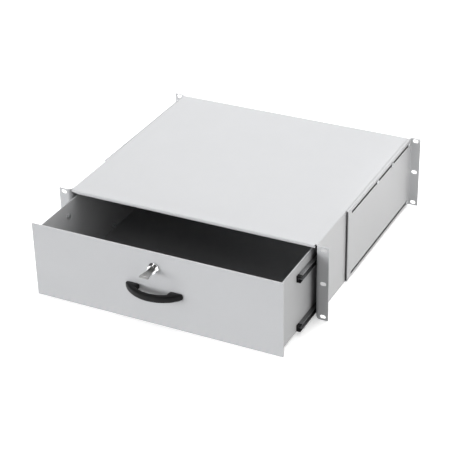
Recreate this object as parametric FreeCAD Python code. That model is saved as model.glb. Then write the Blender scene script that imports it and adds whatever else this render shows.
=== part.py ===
"""Lockable sliding drawer for a 19 inch rack: case, four ball slides, drawer and rear brackets.

Frame: X to the right, Y to the back, Z up. The origin is the centre of the front ears' hole
pattern, on the front face of the ears. All lengths are in millimetres. The drawer stands partly
open, the key is in the unlocked lock, and the rear brackets are almost fully retracted.
"""
import FreeCAD, Part
import math
import os

Vector = FreeCAD.Vector

# ---- rack interface ---------------------------------------------------------------------------
rack_unit = 44.45            # height of one rack unit
unit_count = 3               # rack units the drawer takes
ear_relief = 0.85            # taken off the full rack height so that neighbours clear
ear_span = 482.6             # width over the front ears
hole_margin = 8.75           # middle of the ear slots to the ears' outer edges
hole_edge = 6.35             # outermost slot row to the edge of the rack unit
slot_length = 10.0           # ear slot, along X
slot_height = 6.8            # ear slot, along Z

# ---- case -------------------------------------------------------------------------------------
ear_width = 20.8             # case's side wall to the outer edge of an ear
case_depth = 404.0           # front of the ears to the back of the case
case_sheet = 1.5             # sheet of the cover, ears, back and brackets
ear_bend = 5.5               # inner radius where a side wall turns into its ear
fold_radius = 0.6            # inner radius of the tight folds
lip_height = 4.7             # lip folded down at the front of the top
lip_taper = 15.0             # length over which the lip's left end is cut back
relief_radius = 1.9          # round relief at the ends of the lip
ear_corner = 6.5             # rounding at the inner lower corner of an ear
back_flange = 12.0           # flange folded forward round the back panel
weld_gap = 0.1               # gap between pieces that are spot welded edge to edge
buffer_radius = 7.0          # rubber buffer on the back panel
buffer_bevel = 2.0           # bevel round its front
buffer_inset = 70.5          # middle of a buffer to the case's side
buffer_play = 0.4            # buffer to the closed drawer

# ---- drawer -----------------------------------------------------------------------------------
slide_room = 8.0             # room for a slide between the drawer and the case
back_room = 18.0             # closed drawer to the back panel
box_drop = 10.0              # top of the drawer's side walls below the top of the case
box_lift = 3.0               # underside of the drawer above the bottom of the ears
box_sheet = 1.5              # sheet of the drawer
box_fold = 1.0               # inner radius of the drawer's folds
panel_side = 1.8             # panel's side edges inside the case's sides
panel_drop = 1.0             # panel's top edge below the top of the case
panel_corner = 0.8           # rounding of the panel's corners
panel_lift = 0.2             # underside of the panel above the bottom of the ears
panel_sheet = 2.0            # thickness of the front panel
panel_play = 0.5             # closed panel to the front of the case
open_rest = 116.5            # how far the drawer stands open
hold_back = 115.0            # length of the drawer that stays in the case when fully open
back_drop = 6.0              # the drawer's back wall is this much lower than its sides
stop_play = 0.5              # stop tab to the back wall when fully open
stop_inset = 70.5            # middle of a stop tab to the case's side
stop_width = 24.0            # stop tab width
stop_overlap = 8.0           # how far a stop tab reaches below the back wall's top edge
stop_foot = 14.0             # foot of the stop tab along the top

# ---- ball slides ------------------------------------------------------------------------------
rail_lower = 7.9             # middle of the lower slide above the drawer's underside
rail_upper = 22.6            # middle of the upper slide below the top of the drawer's sides
slide_fold = 0.3             # inner radius of the slides' folds
channel_height = 11.0        # outer member, on the drawer
channel_reach = 7.0          # depth of the outer member
channel_sheet = 1.1          # sheet of the outer member
member_sheet = 1.0           # sheet of the inner member, on the case
member_reach = 5.1           # depth of the inner member
member_front = 8.0           # front end of the inner member
member_end = 1.0             # inner member to the back panel's flange
channel_setback = 63.4       # channel's front end behind the back of the panel
ball_radius = 1.0            # bearing balls
ball_fit = 0.05              # radial play of a ball in its groove
groove_depth = 0.4           # depth of a ball groove
ball_side = 4.8              # ball row from the drawer's side wall
cage_sheet = 0.6             # strip that holds the balls apart
cage_width = 3.4             # width of the strip
cage_length = 96.0           # length of the strip
cage_play = 0.12             # play of a ball in its cage window
cage_end = 5.0               # free length at the front end of the travel
balls_per_row = 2            # balls in one strip
cap_length = 7.0             # moulded cap on the channel's front end
cap_play = 0.5               # cap's mouth round the inner member
cap_proud = 0.2              # cap beyond the channel's flanges
cap_round = 1.2              # rounding of the cap's outer edges
slide_screw = 2.0            # radius of the screws that hold the channels
slide_screw_head = 3.5       # radius of their flat heads in the channel
slide_screw_rise = 1.3       # height of those heads
slide_nut_flat = 3.5         # half distance over the flats of their nuts in the drawer
slide_nut_height = 3.2       # height of those nuts
slide_screw_first = 25.0     # first screw behind the channel's front end
slide_screw_count = 3        # screws in one channel
slide_screw_last = 20.0      # last screw before the channel's back end

# ---- handle -----------------------------------------------------------------------------------
handle_length = 100.0        # over the feet
handle_reach = 27.0          # how far the bow stands out
handle_height = 12.6         # height of the bow
handle_grip = 8.5            # thickness of the bow at its middle
handle_foot = 23.5           # length of each foot on the panel
handle_drop = 3.0            # handle's middle below the middle of the ears
handle_round = 5.0           # rounding of the bow's front
handle_tip = 2.7             # height of the blunt tips above the panel
handle_tip_round = 2.0       # rounding of the tips
handle_draft = 1.6           # how much lower each foot is at the panel, above and below
handle_draft_rise = 9.0      # height above the panel where the foot is at its full height
handle_draft_round = 12.0    # rounding where the draft ends
hollow_wall = 12.0           # height of the finger space's walls above the panel
hollow_corner = 3.0          # rounding of the finger space's corners
hollow_round = 2.0           # rounding of the finger space's edges
handle_screw = 2.5           # radius of the handle screws
handle_screw_head = 4.6      # radius of their heads
handle_screw_rise = 3.0      # height of their heads
handle_screw_bevel = 1.2     # bevel round their heads
handle_screw_bite = 9.0      # length inside the foot
bore_play = 0.1              # clearance of a screw in its hole

# ---- lock -------------------------------------------------------------------------------------
lock_drop = 29.5             # lock axis below the top of the case
lock_rim = 10.2              # radius of the collar on the panel
lock_face = 7.4              # radius of the collar's front
lock_band = 1.4              # straight part of the collar at the panel
lock_reach = 6.5             # collar in front of the panel
lock_body = 8.0              # radius of the threaded body
lock_flat = 7.0              # half distance over the body's flats
lock_tail = 13.5             # body behind the front of the panel
lock_edge = 1.2              # bevel round the collar's front
plug_radius = 6.0            # turning plug
plug_fit = 0.05              # radial play of the plug
plug_recess = 0.4            # plug's face behind the front of the collar
stub_radius = 4.0            # end of the plug that carries the cam
nut_flat = 11.0              # half distance over the lock nut's flats
nut_height = 3.6             # height of the lock nut
nut_corner = 1.1             # rounded corners of the lock nut, as a share of its half flat
cam_sheet = 2.0              # cam thickness
cam_width = 14.0             # cam width
cam_end_flat = 0.14          # half of the straight edge left at each end of the cam
cam_step_round = 2.0         # rounding where the cam steps
cam_top_play = 1.0           # tip of the locked cam to the underside of the top
cam_play = 0.6               # cam's tip to the back of the case's lip when locked
cam_gap = 0.3                # cam to the end of the body
cam_step_start = 9.0         # where the cam starts to step forward
cam_step_end = 16.5          # where it is fully forward
cam_screw_radius = 2.0       # screw that holds the cam
cam_screw_head = 5.5         # radius of its washer head
cam_screw_rise = 2.2         # height of its washer head
cam_screw_bite = 4.0         # length inside the plug
key_sheet = 2.0              # key thickness
key_blade = 8.0              # key blade width
key_blade_length = 13.0      # key blade inside the plug
key_play = 0.25              # key in its slot
key_neck = 10.0              # width of the bow at the lock
key_bow = 17.5               # width of the bow at its end
key_neck_reach = 6.0         # narrow part in front of the plug
key_bow_reach = 26.0         # plug's face to the end of the bow
key_round = 2.0              # rounding of the bow's corners
key_tip_round = 1.5          # rounding of the blade's tip
key_hole = 2.6               # radius of the hole in the bow
key_hole_inset = 5.72        # middle of that hole to the end of the bow

# ---- studs that carry the panel ----------------------------------------------------------------
stud_radius = 2.0            # weld studs on the back of the panel
stud_length = 9.0            # length behind the panel
stud_inset = 23.0            # distance from the drawer's side
stud_margin = 16.0           # distance from the drawer's floor and from its top edge
stud_nut_flat = 3.5          # half distance over the nut's flats
stud_nut_height = 3.2        # nut height

# ---- rear brackets ----------------------------------------------------------------------------
bracket_gap = 2.5            # bracket plate to the case's side wall
bracket_length = 288.5       # front end of the plate to the front face of the rear ear
bracket_rest = 4.5           # retracted rear ear behind the case
bracket_margin = 0.75        # plate and rear ear inside the height of the front ears
bracket_bend = 1.2           # inner radius between plate and rear ear
flange_play = 0.2            # edge of a bracket's flange to the case's side wall
flange_relief = 2.0          # notch between a flange and the rear ear's bend
bracket_corner = 5.0         # rounding at the inner lower corner of the rear ear
long_slot_margin = 8.5       # middle of a long slot to the plate's edge
long_slot_height = 4.4       # height of a long slot
long_slot_lead = 15.0        # front end of the plate to the front end of a long slot
upper_screw_offsets = (158.0, 89.0, 8.0)
lower_screw_offsets = (8.0,)
bracket_screw = 2.0          # radius of the bracket screws
bracket_head = 4.0           # radius of their heads
bracket_head_rise = 2.4      # height of their heads
bracket_head_bevel = 1.0     # bevel round their heads
spacer_radius = 4.2          # welded spacer between case and plate
slide_play = 0.1             # play on each face of the plate
slot_spare = 0.6             # slot left behind the rear screw when retracted

# ---- values that follow -----------------------------------------------------------------------
overrun = 10.0               # long cutting tools run past the material by this much
past = 1.0                   # short cutting tools run past the face they cut by this much
touch = 0.01                 # places nearer to each other than this are one place
mostly = 0.5                 # an edge with this much of an axis in its direction runs along it
slot_flat = 0.004            # half of the straight edge left at each end of a slot
ear_height = unit_count * rack_unit - ear_relief
low = -ear_height / 2.0
high = ear_height / 2.0
hole_rise = unit_count * rack_unit / 2.0 - hole_edge
hole_span = ear_span - 2.0 * hole_margin
case_half = ear_span / 2.0 - ear_width
case_inside = case_half - case_sheet
top_inside = high - case_sheet
bend_depth = ear_bend + case_sheet
ear_start = case_inside + bend_depth
fold_outer = fold_radius + case_sheet
lip_half = case_half - fold_outer
back_inside = case_depth - case_sheet
buffer_side = case_half - buffer_inset
stop_side = case_half - stop_inset
box_half = case_inside - slide_room
box_low = low + box_lift
box_high = high - box_drop
panel_half = case_half - panel_side
panel_low = low + panel_lift
panel_high = high - panel_drop
panel_back_closed = -panel_play
box_depth = back_inside - back_room - panel_back_closed
open_travel = box_depth - hold_back
panel_back = panel_back_closed - open_rest
panel_front = panel_back - panel_sheet
box_back = panel_back + box_depth
wall_back = panel_back + box_sheet
channel_front = panel_back + channel_setback
channel_half = channel_height / 2.0
channel_tip = box_half + channel_reach
channel_floor = box_half + channel_sheet
channel_inside = channel_half - channel_sheet
groove_radius = ball_radius + ball_fit
ball_rise = channel_inside + groove_depth - groove_radius
member_half = ball_rise - groove_radius + groove_depth
ball_x = box_half + ball_side
member_tip = case_inside - member_reach
member_back = case_depth - back_flange - member_end
rail_levels = (box_low + rail_lower, box_high - rail_upper)
screw_start = channel_front + slide_screw_first
screw_step = (box_back - slide_screw_last - screw_start) / (slide_screw_count - 1)
screw_places = [screw_start + index * screw_step for index in range(slide_screw_count)]
cage_front = member_front + cage_end + (open_travel - open_rest) / 2.0
ball_step = cage_length / balls_per_row
cam_end_round = cam_width / 2.0 - cam_end_flat
handle_z = -handle_drop
handle_screw_x = handle_length / 2.0 - handle_foot / 2.0
lock_rise = high - lock_drop
collar_front = panel_front - lock_reach
body_back = panel_front + lock_tail
cam_front = body_back + cam_gap
cam_reach = lock_drop - case_sheet - cam_top_play
plug_front = collar_front + plug_recess
cam_tip_front = panel_back - panel_back_closed + case_sheet + cam_play
bracket_half = ear_height / 2.0 - bracket_margin
bracket_inside = case_half + bracket_gap
bracket_outside = bracket_inside + case_sheet
bracket_depth = case_depth + bracket_rest
bracket_front = bracket_depth - bracket_length
flange_edge = case_half + flange_play
flange_back = bracket_depth - bracket_bend - flange_relief
long_slot_rise = bracket_half - long_slot_margin
long_slot_front = bracket_front + long_slot_lead
upper_screw_places = [case_depth - offset for offset in upper_screw_offsets]
lower_screw_places = [case_depth - offset for offset in lower_screw_offsets]
long_slot_back = max(upper_screw_places) + bracket_screw + slot_spare
bracket_travel = min(upper_screw_places) - bracket_screw - long_slot_front - slot_spare


def point(plane, u, v, w):
    """The point (u, v) of a plane at the level w along the plane's normal."""
    if plane == "XY":
        return Vector(u, v, w)
    if plane == "XZ":
        return Vector(u, w, v)
    return Vector(w, u, v)


def unit(start, end):
    """Direction from one 2D point to another, and their distance."""
    du = end[0] - start[0]
    dv = end[1] - start[1]
    length = math.hypot(du, dv)
    return du / length, dv / length, length


def rounded_wire(plane, level, points, radii):
    """Closed outline through 2D points whose corners are rounded by the given radii."""
    count = len(points)
    entries = []
    for index in range(count):
        corner = points[index]
        back_u, back_v, _ = unit(corner, points[index - 1])
        next_u, next_v, _ = unit(corner, points[(index + 1) % count])
        radius = radii[index]
        if radius <= 0.0:
            entries.append((corner, None, corner))
            continue
        half = math.acos(back_u * next_u + back_v * next_v) / 2.0
        reach = radius / math.tan(half)
        first = (corner[0] + back_u * reach, corner[1] + back_v * reach)
        last = (corner[0] + next_u * reach, corner[1] + next_v * reach)
        mid_u = back_u + next_u
        mid_v = back_v + next_v
        size = math.hypot(mid_u, mid_v)
        away = radius / math.sin(half) - radius
        middle = (corner[0] + mid_u / size * away, corner[1] + mid_v / size * away)
        entries.append((first, middle, last))
    edges = []
    for index in range(count):
        first, middle, last = entries[index]
        if middle is not None:
            arc = Part.Arc(point(plane, *first, level), point(plane, *middle, level),
                           point(plane, *last, level))
            edges.append(arc.toShape())
        following = entries[(index + 1) % count][0]
        if math.dist(last, following) > 1e-6:
            line = Part.LineSegment(point(plane, *last, level), point(plane, *following, level))
            edges.append(line.toShape())
    return Part.Wire(edges)


def prism(plane, start, end, points, radii=None):
    """Solid between two levels over a rounded outline."""
    wire = rounded_wire(plane, start, points, radii or [0.0] * len(points))
    return Part.Face(wire).extrude(point(plane, 0.0, 0.0, end - start))


def folded(plane, start, end, path, sheet, inner):
    """Folded sheet along a path on one face; a positive sheet lies to the left of the path."""
    shifted = []
    radii_path = [0.0]
    radii_shifted = [0.0]
    count = len(path)
    for index in range(count):
        if index in (0, count - 1):
            other = 1 if index == 0 else count - 2
            du, dv, _ = unit(path[index], path[other])
            if index == count - 1:
                du, dv = -du, -dv
            shifted.append((path[index][0] - dv * sheet, path[index][1] + du * sheet))
            continue
        au, av, _ = unit(path[index - 1], path[index])
        bu, bv, _ = unit(path[index], path[index + 1])
        scale = sheet / (1.0 + au * bu + av * bv)
        shifted.append((path[index][0] - (av + bv) * scale, path[index][1] + (au + bu) * scale))
        towards_sheet = (au * bv - av * bu) * sheet > 0.0
        radii_path.append(inner + abs(sheet) if towards_sheet else inner)
        radii_shifted.append(inner if towards_sheet else inner + abs(sheet))
    radii_path.append(0.0)
    radii_shifted.append(0.0)
    points = path + shifted[::-1]
    return prism(plane, start, end, points, radii_path + radii_shifted[::-1])


def box(x0, x1, y0, y1, z0, z1):
    """Axis-aligned block between two corners."""
    return Part.makeBox(x1 - x0, y1 - y0, z1 - z0, Vector(x0, y0, z0))


def rod(axis, radius, start, end, u, v):
    """Cylinder along X, Y or Z from start to end, through (u, v) in the plane across it."""
    origin = {"X": Vector(start, u, v), "Y": Vector(u, start, v), "Z": Vector(u, v, start)}[axis]
    direction = {"X": Vector(1, 0, 0), "Y": Vector(0, 1, 0), "Z": Vector(0, 0, 1)}[axis]
    return Part.makeCylinder(radius, end - start, origin, direction)


def slot(plane, start, end, u, v, length, height):
    """Straight slot with round ends, long along u."""
    half = length / 2.0
    rise = height / 2.0
    points = [(u - half, v - rise), (u + half, v - rise), (u + half, v + rise), (u - half, v + rise)]
    return prism(plane, start, end, points, [rise - slot_flat] * 4)


def hexagon(plane, start, end, u, v, half_flat):
    """Six-sided prism across a plane."""
    corner = half_flat / math.cos(math.pi / 6.0)
    points = []
    for index in range(6):
        angle = index * math.pi / 3.0
        points.append((u + corner * math.cos(angle), v + corner * math.sin(angle)))
    return prism(plane, start, end, points)


def ring(body, axis, level):
    """Round edges of a turned body at one level of its axis."""
    edges = []
    for edge in body.Edges:
        closed = edge.isClosed() and len(edge.Vertexes) == 1
        if closed and abs(getattr(edge.CenterOfMass, axis) - level) < touch:
            edges.append(edge)
    return edges


def upright_edges(shape):
    """Straight edges of the shape that run along Z."""
    return [edge for edge in shape.Edges
            if edge.BoundBox.ZLength > handle_height / 2.0 and edge.BoundBox.XLength < touch]


def mirrored(shape):
    """The same piece on the other side of the middle."""
    return shape.mirror(Vector(0, 0, 0), Vector(1, 0, 0))


def joined(shapes):
    """One clean solid out of overlapping or touching solids."""
    first = shapes[0]
    if len(shapes) > 1:
        first = first.fuse(shapes[1:])
    return first.removeSplitter()


def write(name, shapes):
    """One STEP file for a node, from one or several separate solids."""
    solids = []
    for shape in shapes:
        solids.extend(shape.Solids)
    whole = solids[0] if len(solids) == 1 else Part.makeCompound(solids)
    whole.exportStep("parts/" + name + ".step")


# ---- case -------------------------------------------------------------------------------------
def case_ear():
    """Right side wall's front end, bent outwards into the slotted ear."""
    path = [(case_inside, bend_depth), (case_inside, 0.0), (ear_span / 2.0, 0.0)]
    ear = folded("XY", low, high, path, case_sheet, ear_bend)
    corner = box(case_inside - past, ear_start, -past, bend_depth, low - past, low + ear_corner)
    rounding = rod("Y", ear_corner, -past, bend_depth, ear_start, low + ear_corner)
    tools = [corner.cut(rounding)]
    for row in (-hole_rise, 0.0, hole_rise):
        tools.append(slot("XZ", -1.0, case_sheet + past, hole_span / 2.0, row, slot_length,
                          slot_height))
    return ear.cut(tools)


def case_cover():
    """Top, two side walls, two ears and the front lip, folded from one sheet."""
    path = [(-case_half, low), (-case_half, high), (case_half, high), (case_half, low)]
    relief_depth = 2.0 * relief_radius
    hood = folded("XZ", relief_depth, case_depth, path, -case_sheet, fold_radius)
    below = box(-case_half, case_half, relief_depth, bend_depth, low, high - fold_outer)
    hood = hood.cut(below)
    lip_path = [(0.0, high - lip_height), (0.0, high), (relief_depth, high)]
    lip = folded("YZ", -lip_half, lip_half, lip_path, -case_sheet, fold_radius)
    lip_low = high - lip_height
    taper = [(-case_half, lip_low - past), (lip_taper - lip_half, lip_low - past),
             (lip_taper - lip_half, lip_low), (-lip_half, high - fold_outer),
             (-case_half, high - fold_outer)]
    lip = lip.cut(prism("XZ", -past, fold_outer, taper))
    ear = case_ear()
    cover = joined([hood, ear, mirrored(ear), lip])
    tools = [rod("Z", relief_radius, lip_low - past, high + past, side * lip_half, relief_radius)
             for side in (-1.0, 1.0)]
    for side in (-1.0, 1.0):
        for place, level in bracket_screw_points():
            tools.append(rod("X", bracket_screw, side * case_half - overrun,
                             side * case_half + overrun, place, level))
    return cover.cut(tools)


def bracket_screw_points():
    """Y and Z of each bracket screw on one side."""
    upper = [(place, long_slot_rise) for place in upper_screw_places]
    lower = [(place, -long_slot_rise) for place in lower_screw_places]
    return upper + lower


def case_back():
    """Back panel with flanges folded forward all round, welded inside the cover."""
    half = case_inside - weld_gap
    bottom = low + weld_gap
    top = top_inside - weld_gap
    outer = box(-half, half, case_depth - back_flange, case_depth, bottom, top)
    inner = box(-half + case_sheet, half - case_sheet, case_depth - back_flange - past, back_inside,
                bottom + case_sheet, top - case_sheet)
    outer_edges = [edge for edge in outer.Edges if abs(edge.tangentAt(edge.FirstParameter).y) > mostly]
    outer = outer.makeFillet(fold_radius + case_sheet, outer_edges)
    inner_edges = [edge for edge in inner.Edges if abs(edge.tangentAt(edge.FirstParameter).y) > mostly]
    inner = inner.makeFillet(fold_radius, inner_edges)
    return outer.cut(inner)


def closed_buffers():
    """Rubber buffers on the back panel that the closed drawer comes to rest against."""
    front = box_back + open_rest + buffer_play
    buffers = []
    for side in (-1.0, 1.0):
        body = rod("Y", buffer_radius, front, back_inside, side * buffer_side, 0.0)
        buffers.append(body.makeChamfer(buffer_bevel, ring(body, "y", front)))
    return buffers


def open_stops():
    """Two angle tabs under the top that catch the drawer's back wall at full travel."""
    face = box_back - box_sheet - (open_travel - open_rest) - stop_play
    edge = box_high - back_drop - stop_overlap
    tabs = []
    for side in (-1.0, 1.0):
        start = side * stop_side - stop_width / 2.0
        path = [(face, edge), (face, top_inside), (face - stop_foot, top_inside)]
        tabs.append(folded("YZ", start, start + stop_width, path, case_sheet, fold_radius))
    return tabs


def case_rail(level):
    """Right inner member: channel open to the drawer, with a ball groove along each edge."""
    path = [(member_tip, level - member_half), (case_inside, level - member_half),
            (case_inside, level + member_half), (member_tip, level + member_half)]
    rail = folded("XZ", member_front, member_back, path, member_sheet, slide_fold)
    grooves = [rod("Y", groove_radius, member_front - past, member_back + past, ball_x,
                   level + side * ball_rise) for side in (-1.0, 1.0)]
    return rail.cut(grooves)


def bracket_spacers():
    """Spacers that hold the right bracket plate off the side wall."""
    face = bracket_inside - slide_play
    spacers = []
    for place, level in bracket_screw_points():
        collar = rod("X", spacer_radius, case_half, face, place, level)
        thread = rod("X", bracket_screw, case_half - past, face + past, place, level)
        spacers.append(collar.cut(thread))
    return spacers


def bracket_screws():
    """Pan-head screws that clamp the right bracket plate to its spacers."""
    seat = bracket_outside + slide_play
    screws = []
    for place, level in bracket_screw_points():
        shank = rod("X", bracket_screw, case_inside, seat, place, level)
        head = rod("X", bracket_head, seat, seat + bracket_head_rise, place, level)
        head = head.makeChamfer(bracket_head_bevel, ring(head, "x", seat + bracket_head_rise))
        screws.append(joined([shank, head]))
    return screws


# ---- drawer -----------------------------------------------------------------------------------
def drawer_tray():
    """Floor, side walls and front wall of the drawer, folded up and seam welded."""
    outer = box(-box_half, box_half, panel_back, box_back, box_low, box_high)
    inner = box(-box_half + box_sheet, box_half - box_sheet, wall_back, box_back + overrun,
                box_low + box_sheet, box_high + overrun)
    shells = []
    for solid, radius in ((outer, box_fold + box_sheet), (inner, box_fold)):
        front = solid.BoundBox.YMin
        bottom = solid.BoundBox.ZMin
        edges = []
        for edge in solid.Edges:
            centre = edge.CenterOfMass
            along_y = abs(edge.tangentAt(edge.FirstParameter).y) > mostly
            at_front = abs(centre.y - front) < touch
            at_bottom = abs(centre.z - bottom) < touch
            upright = abs(edge.tangentAt(edge.FirstParameter).z) > mostly
            if (along_y and at_bottom) or (at_front and at_bottom) or (at_front and upright):
                edges.append(edge)
        shells.append(solid.makeFillet(radius, edges))
    tray = shells[0].cut(shells[1])
    holes = []
    for x, z in stud_points():
        holes.append(rod("Y", stud_radius + bore_play, panel_back - past, wall_back + past, x, z))
    for side in (-1.0, 1.0):
        holes.append(rod("Y", handle_screw + bore_play, panel_back - past, wall_back + past,
                         side * handle_screw_x, handle_z))
        for level in rail_levels:
            for place in screw_places:
                holes.append(rod("X", slide_screw, side * box_half - overrun,
                                 side * box_half + overrun, place, level))
    holes.append(lock_hole(panel_back - past, wall_back + past))
    return tray.cut(holes)


def lock_hole(start, end):
    """Round hole with two flats that keeps the lock body from turning."""
    hole = rod("Y", lock_body + bore_play, start, end, 0.0, lock_rise)
    flats = box(-lock_flat - bore_play, lock_flat + bore_play, start, end,
                lock_rise - lock_body - past, lock_rise + lock_body + past)
    return hole.common(flats)


def stud_points():
    """X and Z of the studs between the panel and the drawer's front wall."""
    levels = (box_low + stud_margin, box_high - stud_margin)
    return [(side * (box_half - stud_inset), level) for side in (-1.0, 1.0) for level in levels]


def drawer_back():
    """Back wall with side and bottom flanges folded forward, welded inside the tray."""
    half = box_half - box_sheet - weld_gap
    bottom = box_low + box_sheet + weld_gap
    top = box_high - back_drop
    outer = box(-half, half, box_back - back_flange, box_back, bottom, top)
    inner = box(-half + box_sheet, half - box_sheet, box_back - back_flange - past,
                box_back - box_sheet, bottom + box_sheet, top + past)
    outer_edges = []
    for edge in outer.Edges:
        along_y = abs(edge.tangentAt(edge.FirstParameter).y) > mostly
        if along_y and abs(edge.CenterOfMass.z - bottom) < touch:
            outer_edges.append(edge)
    outer = outer.makeFillet(box_fold + box_sheet, outer_edges)
    return outer.cut(inner)


def front_panel():
    """Flat front panel, wider and taller than the drawer box behind it."""
    points = [(-panel_half, panel_low), (panel_half, panel_low), (panel_half, panel_high),
              (-panel_half, panel_high)]
    plate = prism("XZ", panel_front, panel_back, points, [panel_corner] * 4)
    holes = [lock_hole(panel_front - past, panel_back + past)]
    for side in (-1.0, 1.0):
        holes.append(rod("Y", handle_screw + bore_play, panel_front - past, panel_back + past,
                         side * handle_screw_x, handle_z))
    return plate.cut(holes)


def panel_studs():
    """Weld studs on the back of the panel."""
    return [rod("Y", stud_radius, panel_back, panel_back + stud_length, x, z)
            for x, z in stud_points()]


def panel_nuts():
    """Nuts that draw the panel against the drawer's front wall."""
    nuts = []
    for x, z in stud_points():
        body = hexagon("XZ", wall_back, wall_back + stud_nut_height, x, z, stud_nut_flat)
        nuts.append(body.cut(rod("Y", stud_radius, wall_back - past,
                                 wall_back + stud_nut_height + past, x, z)))
    return nuts


def drawer_channel(level):
    """Right outer member: channel open to the case, with a ball groove inside each flange."""
    path = [(channel_tip, level + channel_half), (box_half, level + channel_half),
            (box_half, level - channel_half), (channel_tip, level - channel_half)]
    channel = folded("XZ", channel_front + cap_length, box_back, path, channel_sheet, slide_fold)
    grooves = [rod("Y", groove_radius, channel_front - past, box_back + past, ball_x,
                   level + side * ball_rise) for side in (-1.0, 1.0)]
    holes = [rod("X", slide_screw, box_half - overrun, channel_floor + overrun, place, level)
             for place in screw_places]
    return channel.cut(grooves + holes)


def channel_cap(level):
    """Moulded cap on the front end of the right channel, open for the inner member."""
    mouth = member_half + cap_play
    tip = channel_tip + cap_proud
    throat = member_tip - cap_play
    points = [(box_half, level - channel_half), (tip, level - channel_half), (tip, level - mouth),
              (throat, level - mouth), (throat, level + mouth), (tip, level + mouth),
              (tip, level + channel_half), (box_half, level + channel_half)]
    radii = [0.0, cap_round, 0.0, 0.0, 0.0, 0.0, cap_round, 0.0]
    return prism("XZ", channel_front, channel_front + cap_length, points, radii)


def channel_screws():
    """Flat-headed screws through the right channels and the drawer's side wall."""
    screws = []
    for level in rail_levels:
        for place in screw_places:
            shank = rod("X", slide_screw, box_half - box_sheet - slide_nut_height, channel_floor,
                        place, level)
            head = rod("X", slide_screw_head, channel_floor, channel_floor + slide_screw_rise,
                       place, level)
            screws.append(joined([shank, head]))
    return screws


def channel_nuts():
    """Their nuts on the inside of the drawer's right wall."""
    seat = box_half - box_sheet
    nuts = []
    for level in rail_levels:
        for place in screw_places:
            body = hexagon("YZ", seat - slide_nut_height, seat, place, level, slide_nut_flat)
            bore = rod("X", slide_screw, seat - slide_nut_height - overrun, seat + overrun, place,
                       level)
            nuts.append(body.cut(bore))
    return nuts


def cage_levels():
    """Height of each ball row, with its slide."""
    return [level + side * ball_rise for level in rail_levels for side in (-1.0, 1.0)]


def ball_places():
    """Y of each ball in a strip."""
    return [cage_front + (index + 0.5) * ball_step for index in range(balls_per_row)]


def ball_cages():
    """Right cage strips, each between a channel flange and the inner member."""
    strips = []
    for level in cage_levels():
        strip = box(ball_x - cage_width / 2.0, ball_x + cage_width / 2.0, cage_front,
                    cage_front + cage_length, level - cage_sheet / 2.0, level + cage_sheet / 2.0)
        window = ball_radius + cage_play
        pockets = [box(ball_x - window, ball_x + window, place - window, place + window,
                       level - cage_sheet, level + cage_sheet) for place in ball_places()]
        strips.append(strip.cut(pockets))
    return strips


def slide_balls():
    """Right bearing balls."""
    return [Part.makeSphere(ball_radius, Vector(ball_x, place, level))
            for level in cage_levels() for place in ball_places()]


# ---- handle -----------------------------------------------------------------------------------
def handle():
    """Moulded bow handle: an arched grip on two long feet, with room for the fingers behind it."""
    half = handle_length / 2.0
    foot = half - handle_foot
    depth = handle_reach - handle_grip
    bottom = handle_z - handle_height / 2.0
    top = bottom + handle_height
    plan = [Vector(x, panel_front - rise, bottom) for x, rise in (
        (-half, 0.0), (-half, handle_tip), (0.0, handle_reach), (half, handle_tip), (half, 0.0),
        (foot, 0.0), (foot, hollow_wall), (0.0, depth), (-foot, hollow_wall), (-foot, 0.0))]
    edges = [Part.Arc(*plan[1:4]).toShape(), Part.Arc(*plan[6:9]).toShape()]
    for first, second in ((0, 1), (3, 4), (4, 5), (5, 6), (8, 9), (9, 0)):
        edges.append(Part.makeLine(plan[first], plan[second]))
    wire = Part.Wire(Part.__sortEdges__(edges))
    bow = Part.Face(wire).extrude(Vector(0, 0, handle_height))
    tips = [edge for edge in upright_edges(bow) if edge.BoundBox.Center.y < panel_front - handle_tip / 2.0
            and abs(edge.BoundBox.Center.x) > foot + handle_tip_round]
    bow = bow.makeFillet(handle_tip_round, tips)
    corners = [edge for edge in upright_edges(bow) if edge.BoundBox.Center.y < panel_front - handle_tip
               and abs(abs(edge.BoundBox.Center.x) - foot) < handle_tip_round]
    bow = bow.makeFillet(hollow_corner, corners)
    rims = [edge for edge in bow.Edges if edge.BoundBox.ZLength < touch
            and edge.BoundBox.XMin > -foot - touch and edge.BoundBox.XMax < foot + touch]
    bow = bow.makeFillet(hollow_round, rims)
    draft_front = panel_front - handle_draft_rise
    front = panel_front - handle_reach
    section = [(panel_front, bottom + handle_draft), (draft_front, bottom), (front, bottom),
               (front, top), (draft_front, top), (panel_front, top - handle_draft)]
    radii = [0.0, handle_draft_round, handle_round, handle_round, handle_draft_round, 0.0]
    bow = bow.common(prism("YZ", -half, half, section, radii))
    bores = [rod("Y", handle_screw, panel_front - handle_screw_bite, panel_front + overrun,
                 side * handle_screw_x, handle_z) for side in (-1.0, 1.0)]
    return bow.cut(bores)


def handle_screws():
    """Screws from inside the drawer into the handle's feet."""
    screws = []
    for side in (-1.0, 1.0):
        x = side * handle_screw_x
        shank = rod("Y", handle_screw, panel_front - handle_screw_bite, wall_back, x, handle_z)
        head = rod("Y", handle_screw_head, wall_back, wall_back + handle_screw_rise, x, handle_z)
        head = head.makeChamfer(handle_screw_bevel, ring(head, "y", wall_back + handle_screw_rise))
        screws.append(joined([shank, head]))
    return screws


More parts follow.
